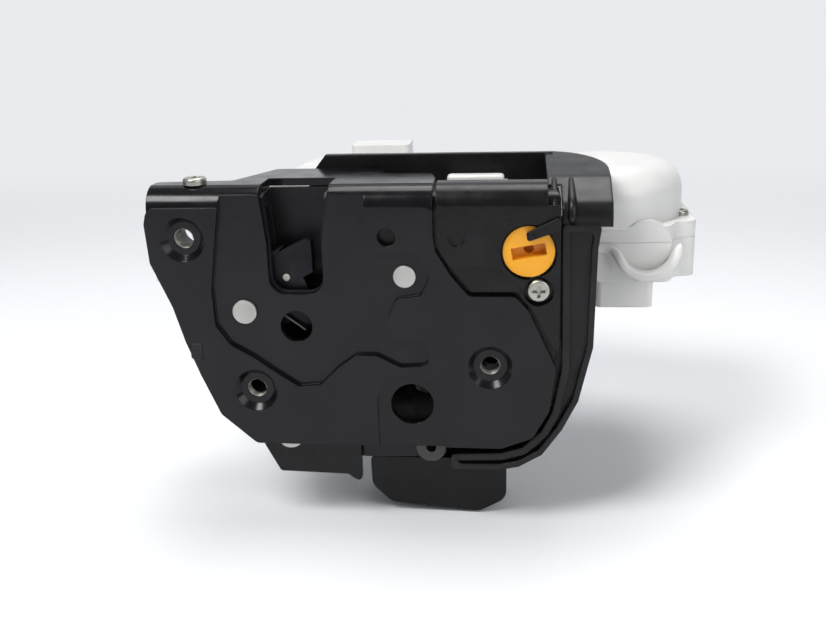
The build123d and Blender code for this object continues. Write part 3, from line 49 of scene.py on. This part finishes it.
def setCamera(spec):
    turn, pitch, roll = (math.radians(spec[key]) for key in ("turn", "pitch", "roll"))
    level = math.cos(pitch)
    forward = np.array([-math.sin(turn) * level, math.cos(turn) * level, -math.sin(pitch)])
    right = np.array([math.cos(turn), math.sin(turn), 0.0])
    up = np.cross(right, forward)
    data = bpy.data.cameras.new("camera")
    data.lens = spec["lens"]
    data.sensor_width = 36.0
    data.clip_start = 0.01
    data.clip_end = 20.0
    holder = bpy.data.objects.new("camera", data)
    scene.collection.objects.link(holder)
    matrix = np.eye(4)
    matrix[:3, 0] = right * math.cos(roll) - up * math.sin(roll)
    matrix[:3, 1] = right * math.sin(roll) + up * math.cos(roll)
    matrix[:3, 2] = -forward
    matrix[:3, 3] = np.array(spec["place"]) * mm
    holder.matrix_world = Matrix(matrix.tolist())
    scene.camera = holder


setCamera(camera)
print("camera set")


# Colours are written as sRGB hex and turned to linear here
def linear(code):
    parts = [int(code[i:i + 2], 16) / 255 for i in (1, 3, 5)]
    return tuple(c / 12.92 if c <= 0.04045 else ((c + 0.055) / 1.055) ** 2.4 for c in parts) + (1.0,)


# One node, its settings and its links; a setting is an input by name or number, or else a property
def addNode(tree, kind, settings=None, links=None):
    node = tree.nodes.new(kind)
    for key, value in (settings or {}).items():
        if isinstance(key, int) or key in node.inputs:
            node.inputs[key].default_value = value
        else:
            setattr(node, key, value)
    for key, source in (links or {}).items():
        tree.links.new(source, node.inputs[key])
    return node


# One row a finish, by the record's slot: the real material and how its surface was made, two colours,
# roughness span, grain size and depth in mm, edge radius in mm
finishes = {
    # black electrocoat on pressed sheet: deep gloss with a faint orange peel, so edges light up as thin lines
    "pressed_steel": {"name": "electrocoated_pressed_steel", "base": "#08080a", "other": "#111114",
                      "rough": (0.15, 0.27), "grain": 1.6, "depth": 0.008, "edge": 0.45, "metallic": 0.0,
                      "coat": 0.15, "specular": 0.2},
    # passivated zinc plate: pale grey with a warm cast and a patchy sheen
    "zinc_steel": {"name": "zinc_plated_steel", "base": "#b9b8ae", "other": "#a09f98", "rough": (0.3, 0.5),
                   "grain": 0.8, "depth": 0.004, "edge": 0.15, "metallic": 1.0},
    # turned and riveted bright steel: fine grain, matt silver
    "rivet_steel": {"name": "turned_bright_steel", "base": "#c9c8c4", "other": "#b0afab",
                    "rough": (0.35, 0.55), "grain": 0.3, "depth": 0.006, "edge": 0.3, "metallic": 1.0},
    # blanked, hardened and phosphated steel: nearly black, dull
    "sintered_steel": {"name": "phosphated_blanked_steel", "base": "#323235", "other": "#262629",
                       "rough": (0.36, 0.52), "grain": 0.5, "depth": 0.006, "edge": 0.25, "metallic": 1.0},
    # drawn and oiled spring wire
    "spring_steel": {"name": "drawn_spring_wire", "base": "#8a8a88", "other": "#6c6c6a",
                     "rough": (0.25, 0.4), "grain": 0.3, "depth": 0.002, "edge": 0.05, "metallic": 1.0},
    # black glass-filled polyamide from a polished tool: gloss a little broken by the filler
    "black_resin": {"name": "moulded_black_polyamide", "base": "#090909", "other": "#121213",
                    "rough": (0.2, 0.36), "grain": 0.5, "depth": 0.005, "edge": 0.35, "metallic": 0.0,
                    "specular": 0.25},
    # nearly black acetal: waxy, softer sheen than the polyamide
    "dark_resin": {"name": "moulded_dark_acetal", "base": "#131315", "other": "#1c1c1f",
                   "rough": (0.3, 0.46), "grain": 0.6, "depth": 0.004, "edge": 0.25, "metallic": 0.0,
                   "specular": 0.25},
    # moulded elastomer of the lip seal: satin black, its rounded lips catch a long soft line
    "black_rubber": {"name": "moulded_black_elastomer", "base": "#0b0b0c", "other": "#161617",
                     "rough": (0.26, 0.42), "grain": 0.7, "depth": 0.008, "edge": 0.8, "metallic": 0.0,
                     "specular": 0.3},
    # moulded yellow acetal of the knob: even and waxy
    "yellow_resin": {"name": "moulded_yellow_acetal", "base": "#f0a81c", "other": "#e59a12",
                     "rough": (0.28, 0.42), "grain": 0.8, "depth": 0.004, "edge": 0.3, "metallic": 0.0,
                     "soft": 0.05},
    # moulded off-white acetal of the case: light goes a little way in and rounds the edges off
    "white_resin": {"name": "moulded_white_acetal", "base": "#dad9d6", "other": "#cfcfcd",
                    "rough": (0.3, 0.46), "grain": 1.2, "depth": 0.008, "edge": 0.6, "metallic": 0.0,
                    "soft": 0.08},
    # moulded pale nylon: greyer and duller than the case
    "pale_nylon": {"name": "moulded_pale_nylon", "base": "#b9b8af", "other": "#a9a8a0",
                   "rough": (0.36, 0.52), "grain": 0.6, "depth": 0.004, "edge": 0.2, "metallic": 0.0,
                   "soft": 0.05},
    # moulded dark grey nylon of the bush and the stud, rubbed by the rods they hold
    "grey_nylon": {"name": "moulded_grey_nylon", "base": "#45453f", "other": "#383834",
                   "rough": (0.3, 0.44), "grain": 0.6, "depth": 0.004, "edge": 0.25, "metallic": 0.0,
                   "specular": 0.4},
    # tinned and drawn motor can
    "motor_steel": {"name": "tinned_drawn_steel", "base": "#b4b4b6", "other": "#9c9c9f",
                    "rough": (0.22, 0.36), "grain": 0.6, "depth": 0.003, "edge": 0.4, "metallic": 1.0},
    # turned brass
    "brass": {"name": "turned_brass", "base": "#c8a24e", "other": "#b48d3c", "rough": (0.26, 0.4),
              "grain": 0.4, "depth": 0.003, "edge": 0.1, "metallic": 1.0},
    # glass-epoxy laminate under a green solder mask
    "board": {"name": "masked_glass_laminate", "base": "#1f5a36", "other": "#194c2d", "rough": (0.3, 0.42),
              "grain": 0.9, "depth": 0.003, "edge": 0.1, "metallic": 0.0},
}
# Handling marks and the drift of the sheen are as wide as a fingertip
patchSize, sheenSize = 14 * mm, 6 * mm
# Span that holds most of the noise, strength of the grain, smoothness of a coat
noiseSpan, grainStrength, coatRough = (0.3, 0.7), 0.6, 0.1
# How far red, green and blue go into a soft resin
softReach, softScale = (1.0, 0.9, 0.8), 1.2 * mm


def makeFinish(spec):
    material = bpy.data.materials.new(spec["name"])
    material.use_nodes = True
    tree = material.node_tree
    tree.nodes.clear()
    where = addNode(tree, "ShaderNodeTexCoord").outputs["Object"]
    patches = addNode(tree, "ShaderNodeTexNoise", {"Scale": 1 / patchSize, "Detail": 3.0}, {"Vector": where})
    span = {"From Min": noiseSpan[0], "From Max": noiseSpan[1]}
    spread = addNode(tree, "ShaderNodeMapRange", span, {"Value": patches.outputs["Fac"]})
    tones = {"data_type": "RGBA", 6: linear(spec["base"]), 7: linear(spec["other"])}
    colour = addNode(tree, "ShaderNodeMix", tones, {0: spread.outputs["Result"]})
    sheen = addNode(tree, "ShaderNodeTexNoise", {"Scale": 1 / sheenSize, "Detail": 3.0}, {"Vector": where})
    span.update({"To Min": spec["rough"][0], "To Max": spec["rough"][1]})
    rough = addNode(tree, "ShaderNodeMapRange", span, {"Value": sheen.outputs["Fac"]})
    fine = {"Scale": 1 / (spec["grain"] * mm), "Detail": 2.0}
    grain = addNode(tree, "ShaderNodeTexNoise", fine, {"Vector": where})
    edge = addNode(tree, "ShaderNodeBevel", {"samples": 6, "Radius": spec["edge"] * mm})
    bump = addNode(tree, "ShaderNodeBump", {"Strength": grainStrength, "Distance": spec["depth"] * mm},
                   {"Height": grain.outputs["Fac"], "Normal": edge.outputs["Normal"]})
    look = {"Metallic": spec["metallic"], "Coat Weight": spec.get("coat", 0.0), "Coat Roughness": coatRough,
            "Specular IOR Level": spec.get("specular", 0.5), "Subsurface Weight": spec.get("soft", 0.0),
            "Subsurface Radius": softReach, "Subsurface Scale": softScale}
    shader = addNode(tree, "ShaderNodeBsdfPrincipled", look,
                     {"Base Color": colour.outputs[2], "Roughness": rough.outputs["Result"],
                      "Normal": bump.outputs["Normal"]})
    addNode(tree, "ShaderNodeOutputMaterial", links={"Surface": shader.outputs["BSDF"]})
    return material


materials = {slot: makeFinish(spec) for slot, spec in finishes.items()}
print("materials made:", len(materials))

slotOf = {entry["node"]: entry["material_slot"] for entry in frame["record"]["subparts"]}
# The bush and the stud of the cable are a darker nylon than the buffer
slotOf.update({"lever_bush": "grey_nylon", "cable_stud": "grey_nylon"})
sharpAngle, weldGap = math.radians(32), 0.002 * mm
for name, piece in frame["nodes"].items():
    piece.data.materials.clear()
    piece.data.materials.append(materials[slotOf[name]])
    piece.data.polygons.foreach_set("use_smooth", np.ones(len(piece.data.polygons), bool))
    weld = piece.modifiers.new("weld", "WELD")
    weld.merge_threshold = weldGap
    split = piece.modifiers.new("split", "EDGE_SPLIT")
    split.split_angle = sharpAngle
print("nodes dressed")


# A piece from closed rows of points: grid[row, point] in mm, each row a loop, the ends capped
def makePiece(name, grids, slot, body):
    points, faces, first = [], [], 0
    for grid in grids:
        rows, count = grid.shape[:2]
        row, point = np.meshgrid(np.arange(rows - 1), np.arange(count), indexing="ij")
        after = (point + 1) % count
        quads = np.stack([row * count + point, row * count + after, (row + 1) * count + after,
                          (row + 1) * count + point], -1).reshape(-1, 4) + first
        faces += quads.tolist()
        faces += [(first + np.arange(count)).tolist(),
                  (first + (rows - 1) * count + np.arange(count)).tolist()]
        points.append(grid.reshape(-1, 3))
        first += rows * count
    mesh = bpy.data.meshes.new(name)
    mesh.from_pydata((np.concatenate(points) * mm).tolist(), [], faces)
    tidy = bmesh.new()
    tidy.from_mesh(mesh)
    bmesh.ops.recalc_face_normals(tidy, faces=tidy.faces)
    tidy.to_mesh(mesh)
    tidy.free()
    mesh.polygons.foreach_set("use_smooth", np.ones(len(mesh.polygons), bool))
    mesh.materials.append(materials[slot])
    piece = bpy.data.objects.new(name, mesh)
    scene.collection.objects.link(piece)
    piece.modifiers.new("split", "EDGE_SPLIT").split_angle = sharpAngle
    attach(piece, body)
    return piece


# Loop of a rounded rectangle about its middle: corners are quarter circles of the given radius
def roundedLoop(width, height, radius, steps=5):
    turns = np.linspace(0, math.pi / 2, steps)
    corner = np.stack([np.cos(turns), np.sin(turns)], -1) * radius
    loops = []
    for quarter, (sx, sy) in enumerate(((1, 1), (-1, 1), (-1, -1), (1, -1))):
        angle = quarter * math.pi / 2
        spin = np.array([[math.cos(angle), math.sin(angle)], [-math.sin(angle), math.cos(angle)]])
        loops.append(corner @ spin + np.array([sx * (width / 2 - radius), sy * (height / 2 - radius)]))
    return np.concatenate(loops)


# Flange of the lower shell on the case's front: straight, round under the worm's bulge, straight again.
# "short" is where the straights stop before the arc, "blend" the ends of the smooth step
rimBand = {"left": 64.0, "right": 98.6, "level": 1.0, "centre": (89.5, 1.6), "radius": 7.9, "width": 2.4,
           "front": 22.7, "bulgeFront": 19.3, "back": 24.4, "easing": 6, "short": 1.2, "blend": (2.4, 4.0),
           "soften": 0.3}


# path(s) in the plane XZ: a line, an arc of the given radius about the centre, a line; the front's depth
# drops from the straight stretches to the bulge by a smooth step over the ends of the arc
def makeRimBand(spec):
    cx, cz = spec["centre"]
    dip = math.asin((spec["level"] - cz) / spec["radius"])
    angles = np.linspace(math.pi - dip, 2 * math.pi + dip, 33)
    arc = np.stack([cx + spec["radius"] * np.cos(angles), cz + spec["radius"] * np.sin(angles)], -1)
    left = np.stack([np.linspace(spec["left"], arc[0, 0] - spec["short"], 6), np.full(6, spec["level"])], -1)
    right = np.stack([np.linspace(arc[-1, 0] + spec["short"], spec["right"], 3), np.full(3, spec["level"])],
                     -1)
    path = np.concatenate([left, arc, right])
    for _ in range(spec["easing"]):
        path[1:-1] = (path[:-2] + 2 * path[1:-1] + path[2:]) / 4
    tangent = np.gradient(path, axis=0)
    tangent /= np.linalg.norm(tangent, axis=1)[:, None]
    normal = np.stack([-tangent[:, 1], tangent[:, 0]], -1)
    reach, span = spec["blend"]
    near = np.clip((spec["radius"] + reach - np.abs(path[:, 0] - cx)) / span, 0, 1)
    near = near * near * (3 - 2 * near)
    front = spec["front"] + (spec["bulgeFront"] - spec["front"]) * near
    depth = spec["back"] - front
    loop = roundedLoop(1.0, 1.0, spec["soften"])
    across = loop[None, :, 0] * spec["width"]
    deep = front[:, None] + (loop[None, :, 1] + 0.5) * depth[:, None]
    return np.stack([path[:, None, 0] + normal[:, None, 0] * across, deep,
                     path[:, None, 1] + normal[:, None, 1] * across], -1)


makePiece("rim_band", [makeRimBand(rimBand)], "white_resin", "latch_unit")
print("case flange made")

# Screw at the right end of the case's rim: a pan head turned about Z with a socket in it
rimScrew = {"place": (100.0, 39.6, 6.5), "radius": 2.5, "height": 1.5, "socket": 1.1, "deep": 0.8,
            "crown": 0.7, "flare": 0.1}


# radius(t), height(t): floor of the socket, its wall, the rounded head, the rim; one loop a point
def makeScrew(spec):
    r, h, s, c = (spec[key] for key in ("radius", "height", "socket", "crown"))
    turns = np.linspace(0, math.pi / 2, 6)
    crown = np.stack([r - c + c * np.sin(turns), h - c + c * np.cos(turns)], -1)
    floor = h - spec["deep"]
    profile = np.concatenate([[(0.01, floor), (s, floor), (s + spec["flare"], h)], crown, [(r, 0.0)]])
    angles = np.linspace(0, 2 * math.pi, 24, endpoint=False)
    x, y, z = spec["place"]
    return np.stack([x + profile[:, None, 0] * np.cos(angles), y + profile[:, None, 0] * np.sin(angles),
                     z + np.repeat(profile[:, 1:], len(angles), 1)], -1)


makePiece("rim_screw", [makeScrew(rimScrew)], "zinc_steel", "latch_unit")

# Threads cut in the three fixing bores
threads = {"places": ((-28.0, 9.1), (-12.0, -31.0), (48.8, -24.3)), "bore": 2.57, "crest": 2.27, "pitch": 1.0,
           "start": 1.75, "end": 5.2, "ridge": 0.4, "steps": 28}


# ridge of triangular section: radius and depth of its three corners, carried along depth = pitch * turns
def makeThread(place, spec):
    turns = (spec["end"] - spec["start"]) / spec["pitch"]
    angles = np.linspace(0, 2 * math.pi * turns, int(turns * spec["steps"]))
    radius = np.array([spec["bore"], spec["crest"], spec["bore"]])
    offset = np.array([-spec["ridge"], 0.0, spec["ridge"]]) * spec["pitch"]
    depth = spec["start"] + angles / (2 * math.pi) * spec["pitch"]
    return np.stack([place[0] + np.cos(angles)[:, None] * radius, depth[:, None] + offset,
                     place[1] + np.sin(angles)[:, None] * radius], -1)


makePiece("fixing_threads", [makeThread(place, threads) for place in threads["places"]], "zinc_steel",
          "latch_unit")
print("threads made")

# Ribs of the hood beside its slot, carried along the hood's front profile
hoodRibs = {"places": (64.5, 68.7), "radius": 1.1, "low": (2.0, 12.4), "bend": (2.0, 16.4),
            "high": (11.0, 21.62),
            "corner": 5.0, "tip": 0.55}


# path(s) in the plane YZ: a line, an arc tangent to both lines at the bend, a line; section is a circle
def makeRib(place, spec):
    low, bend, high = (np.array(spec[key]) for key in ("low", "bend", "high"))
    inward, outward = (bend - low) / np.linalg.norm(bend - low), (high - bend) / np.linalg.norm(high - bend)
    half = math.acos(float(inward @ outward)) / 2
    reach = spec["corner"] * math.tan(half)
    middle = bend - inward * reach + np.array([spec["corner"], 0.0])
    angles = np.linspace(math.pi, math.pi - 2 * half, 9)
    arc = middle + spec["corner"] * np.stack([np.cos(angles), np.sin(angles)], -1)
    path = np.concatenate([[low], arc, [high]])
    tangent = np.gradient(path, axis=0)
    tangent /= np.linalg.norm(tangent, axis=1)[:, None]
    normal = np.stack([-tangent[:, 1], tangent[:, 0]], -1)
    ring = np.linspace(0, 2 * math.pi, 14, endpoint=False)
    size = np.full((len(path), 1), spec["radius"])
    size[[0, -1]] *= spec["tip"]
    out = size * np.cos(ring)
    return np.stack([place + size * np.sin(ring), path[:, None, 0] + normal[:, None, 0] * out,
                     path[:, None, 1] + normal[:, None, 1] * out], -1)


makePiece("hood_ribs", [makeRib(place, hoodRibs) for place in hoodRibs["places"]], "black_rubber",
          "latch_unit")

# White clip of the case that stands up behind the head, and the pale plug in the ratchet's jaw
caseClip = {"middle": (44.6, 25.2), "size": (15.0, 4.6), "low": 17.5, "high": 20.7, "corner": 1.2,
            "round": 0.8}
jawPlug = {"place": (-3.4, 5.3, -2.2), "radius": 0.95, "deep": 0.6}


# stack of rounded loops along Z, the last ones drawn in by a quarter circle
def makeClip(spec):
    turns = np.linspace(0, math.pi / 2, 5)
    inset = np.concatenate([[0.0], spec["round"] * (1 - np.cos(turns))])
    level = np.concatenate([[spec["low"]], spec["high"] - spec["round"] * (1 - np.sin(turns))])
    loop = roundedLoop(*spec["size"], spec["corner"])
    scale = 1 - inset[:, None, None] / (np.array(spec["size"]) / 2)
    flat = loop[None] * scale + np.array(spec["middle"])
    return np.concatenate([flat, np.broadcast_to(level[:, None, None], (*flat.shape[:2], 1))], -1)


# dome turned about Y: radius and depth of a flattened quarter circle
def makePlug(spec):
    turns = np.linspace(0.02, math.pi / 2, 6)
    angles = np.linspace(0, 2 * math.pi, 20, endpoint=False)
    x, y, z = spec["place"]
    radius = np.append(np.sin(turns), 1.0)[:, None] * spec["radius"]
    depth = np.append(1 - np.cos(turns), 2.0)[:, None] * spec["deep"] / 2 + y
    return np.stack([x + radius * np.cos(angles), np.repeat(depth, len(angles), 1),
                     z + radius * np.sin(angles)], -1)


makePiece("case_clip", [makeClip(caseClip)], "white_resin", "latch_unit")
makePiece("jaw_plug", [makePlug(jawPlug)], "pale_nylon", "ratchet")
print("pieces made")

# Floor that curves up into a backdrop
stage = {"level": -70.0, "front": -1200.0, "back": 1500.0, "half": 2500.0, "cove": 700.0, "top": 3000.0,
         "colour": "#f0f1f3", "other": "#edeef1", "toneScale": 4.0, "rough": 0.9, "far": "#e9ebee",
         "fadeFrom": 120.0, "fadeTo": 620.0}


# painted board, matt: near the object it is lit and shaded, far away the eye and gloss see an even pale tone
def makeBoard(spec):
    material = bpy.data.materials.new("matt_painted_board")
    material.use_nodes = True
    tree = material.node_tree
    tree.nodes.clear()
    where = addNode(tree, "ShaderNodeTexCoord").outputs["Object"]
    tone = addNode(tree, "ShaderNodeTexNoise", {"Scale": spec["toneScale"]}, {"Vector": where})
    tones = {"data_type": "RGBA", 6: linear(spec["colour"]), 7: linear(spec["other"])}
    colour = addNode(tree, "ShaderNodeMix", tones, {0: tone.outputs["Fac"]})
    paint = {"Roughness": spec["rough"]}
    shader = addNode(tree, "ShaderNodeBsdfPrincipled", paint, {"Base Color": colour.outputs[2]})
    glow = addNode(tree, "ShaderNodeEmission", {"Color": linear(spec["far"]), "Strength": 1.0})
    along = addNode(tree, "ShaderNodeSeparateXYZ", links={"Vector": where})
    step = {"interpolation_type": "SMOOTHSTEP", "From Min": spec["fadeFrom"] * mm,
            "From Max": spec["fadeTo"] * mm}
    fade = addNode(tree, "ShaderNodeMapRange", step, {"Value": along.outputs["Y"]})
    path = addNode(tree, "ShaderNodeLightPath")
    seen = addNode(tree, "ShaderNodeMath", {"operation": "ADD", "use_clamp": True},
                   {0: path.outputs["Is Camera Ray"], 1: path.outputs["Is Glossy Ray"]})
    through = addNode(tree, "ShaderNodeMath", {"operation": "ADD", "use_clamp": True},
                      {0: seen.outputs[0], 1: path.outputs["Is Transmission Ray"]})
    share = addNode(tree, "ShaderNodeMath", {"operation": "MULTIPLY"},
                    {0: through.outputs[0], 1: fade.outputs["Result"]})
    both = addNode(tree, "ShaderNodeMixShader", links={0: share.outputs[0], 1: shader.outputs["BSDF"],
                                                       2: glow.outputs["Emission"]})
    addNode(tree, "ShaderNodeOutputMaterial", links={"Surface": both.outputs["Shader"]})
    return material


# sweep of the profile y(t), z(t): flat, a quarter circle of radius cove, then upright
def makeStage(spec):
    angles = np.linspace(0, math.pi / 2, 25)
    wall = spec["back"] + spec["cove"]
    ys = np.concatenate(([spec["front"]], spec["back"] + spec["cove"] * np.sin(angles), [wall]))
    zs = np.concatenate(([0.0], spec["cove"] * (1 - np.cos(angles)), [spec["top"]])) + spec["level"]
    xs = np.array([-spec["half"], spec["half"]])
    points = np.stack([np.repeat(xs[None], len(ys), 0), np.repeat(ys[:, None], 2, 1),
                       np.repeat(zs[:, None], 2, 1)], -1)
    rows = np.arange(len(ys) - 1)
    faces = np.stack([rows * 2, rows * 2 + 1, rows * 2 + 3, rows * 2 + 2], -1)
    mesh = bpy.data.meshes.new("floor")
    mesh.from_pydata((points.reshape(-1, 3) * mm).tolist(), [], faces.tolist())
    mesh.polygons.foreach_set("use_smooth", np.ones(len(mesh.polygons), bool))
    mesh.materials.append(makeBoard(spec))
    floor = bpy.data.objects.new("floor", mesh)
    scene.collection.objects.link(floor)


makeStage(stage)

# Soft boxes: place and aim in mm, size in mm, power in W
lamps = {
    "key": {"place": (-300, -360, 620), "aim": (20, 20, 0), "size": 300, "power": 4.6},
    "fill": {"place": (520, -420, 300), "aim": (20, 20, 0), "size": 420, "power": 1.6},
    "top": {"place": (60, 200, 700), "aim": (30, 30, 0), "size": 420, "power": 3.4},
}


def makeLamp(name, spec):
    data = bpy.data.lights.new(name, "AREA")
    data.shape = "SQUARE"
    data.size = spec["size"] * mm
    data.energy = spec["power"]
    lamp = bpy.data.objects.new(name, data)
    scene.collection.objects.link(lamp)
    place = np.array(spec["place"], float) * mm
    away = place - np.array(spec["aim"], float) * mm
    away = away / np.linalg.norm(away)
    side = np.cross([0, 0, 1], away)
    side = side / np.linalg.norm(side)
    matrix = np.eye(4)
    matrix[:3, 0], matrix[:3, 1], matrix[:3, 2], matrix[:3, 3] = side, np.cross(away, side), away, place
    lamp.matrix_world = Matrix(matrix.tolist())


for name, spec in lamps.items():
    makeLamp(name, spec)

# Even pale sky round the stage
sky = {"colour": "#e8ecf2", "strength": 0.3}
world = bpy.data.worlds.new("studio")
scene.world = world
world.use_nodes = True
world.node_tree.nodes["Background"].inputs["Color"].default_value = linear(sky["colour"])
world.node_tree.nodes["Background"].inputs["Strength"].default_value = sky["strength"]
scene.view_settings.view_transform = "Standard"
print("stage and lamps set")
